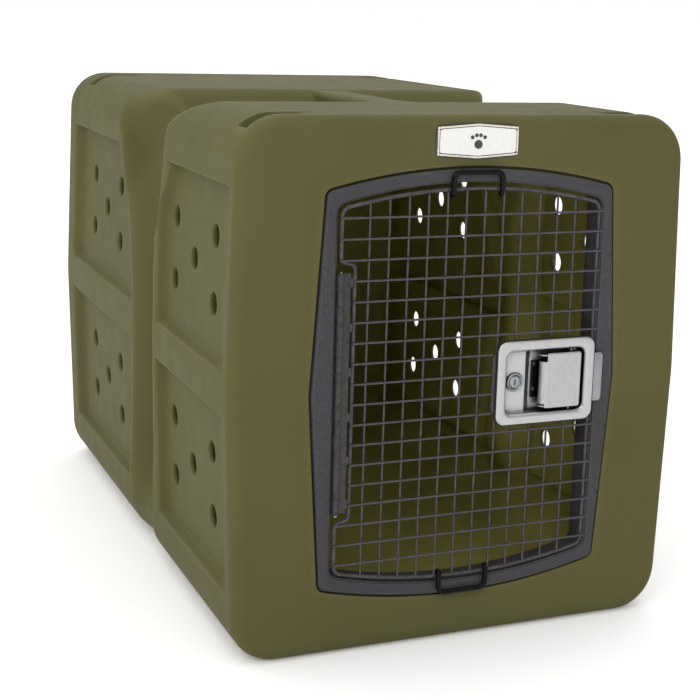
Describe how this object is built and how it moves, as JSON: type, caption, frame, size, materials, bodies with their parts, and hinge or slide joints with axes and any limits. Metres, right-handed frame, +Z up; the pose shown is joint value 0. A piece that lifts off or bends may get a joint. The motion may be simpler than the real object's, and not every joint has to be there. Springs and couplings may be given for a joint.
{
  "type": "pet transport carrier",
  "caption": "Rigid one-piece moulded pet carrier with a waisted shell, vented side panels, a bridge handle and a hinged wire door with a keyed paddle latch.",
  "frame": {"origin": "centre of the overall box at the base", "axes": "+Z up, +Y from the door to the back, +X to the right when facing the door"},
  "size_m": [0.622, 0.983, 0.672],
  "materials": {
    "olive_plastic": "fine moulded grain",
    "frame_plastic": "fine pebble texture",
    "wire_coat": "satin powder coat",
    "gloss_black": "gloss",
    "stainless": "brushed",
    "plated_steel": "zinc plated",
    "gasket_rubber": "matte",
    "badge_border": "satin",
    "badge_white": "gloss",
    "badge_mark": "gloss"
  },
  "bodies": {
    "carrier": {"shell": "olive_plastic", "carry_bridge": "olive_plastic", "door_frame": "frame_plastic", "frame_retainer": "frame_plastic", "frame_screws": "plated_steel", "badge_plate": "badge_border", "badge_face": "badge_white", "badge_emblem": "badge_mark", "strike_plate": "stainless", "hinge_frame_leaf": "wire_coat", "hinge_pin": "plated_steel", "hinge_rivets": "plated_steel"},
    "door": {"hinge_door_leaf": "wire_coat", "hinge_welds": "wire_coat", "door_rim": "wire_coat", "wires_vertical": "wire_coat", "wires_horizontal": "wire_coat", "stop_loop_top": "gloss_black", "stop_loop_bottom": "gloss_black", "latch_bracket": "wire_coat", "latch_gasket": "gasket_rubber", "latch_tray": "stainless", "latch_studs": "plated_steel", "latch_nuts": "plated_steel", "stop_plate": "stainless", "well_plate": "gloss_black", "well_rivets": "gloss_black", "bolt_housing": "plated_steel", "paddle_pin": "plated_steel", "paddle_spring": "plated_steel", "lock_cylinder": "stainless", "lock_nut": "plated_steel"},
    "latch_paddle": {"paddle": "stainless"},
    "bolt": {"latch_bolt": "stainless"},
    "key_plug": {"lock_plug": "plated_steel", "lock_cam": "plated_steel"}
  },
  "joints": [
    {"name": "door_swing", "type": "hinge", "parent": "carrier", "child": "door", "pos_m": [-0.176, -0.4857, 0.336], "axis": [0, 0, -1], "range_deg": [0, 180]},
    {"name": "paddle_pull", "type": "hinge", "parent": "door", "child": "latch_paddle", "pos_m": [0.1438, -0.4845, 0.336], "axis": [0, 0, 1], "range_deg": [0, 40], "stiffness_Nm_per_rad": 0.3},
    {"name": "bolt_slide", "type": "slide", "parent": "door", "child": "bolt", "axis": [-1, 0, 0], "range_m": [0, 0.012]},
    {"name": "lock_turn", "type": "hinge", "parent": "door", "child": "key_plug", "pos_m": [0.0652, -0.4705, 0.336], "axis": [0, 1, 0], "range_deg": [0, 90]}
  ],
  "couplings": [
    {"joint": "bolt_slide", "follows": "paddle_pull", "m_per_rad": 0.01715}
  ]
}
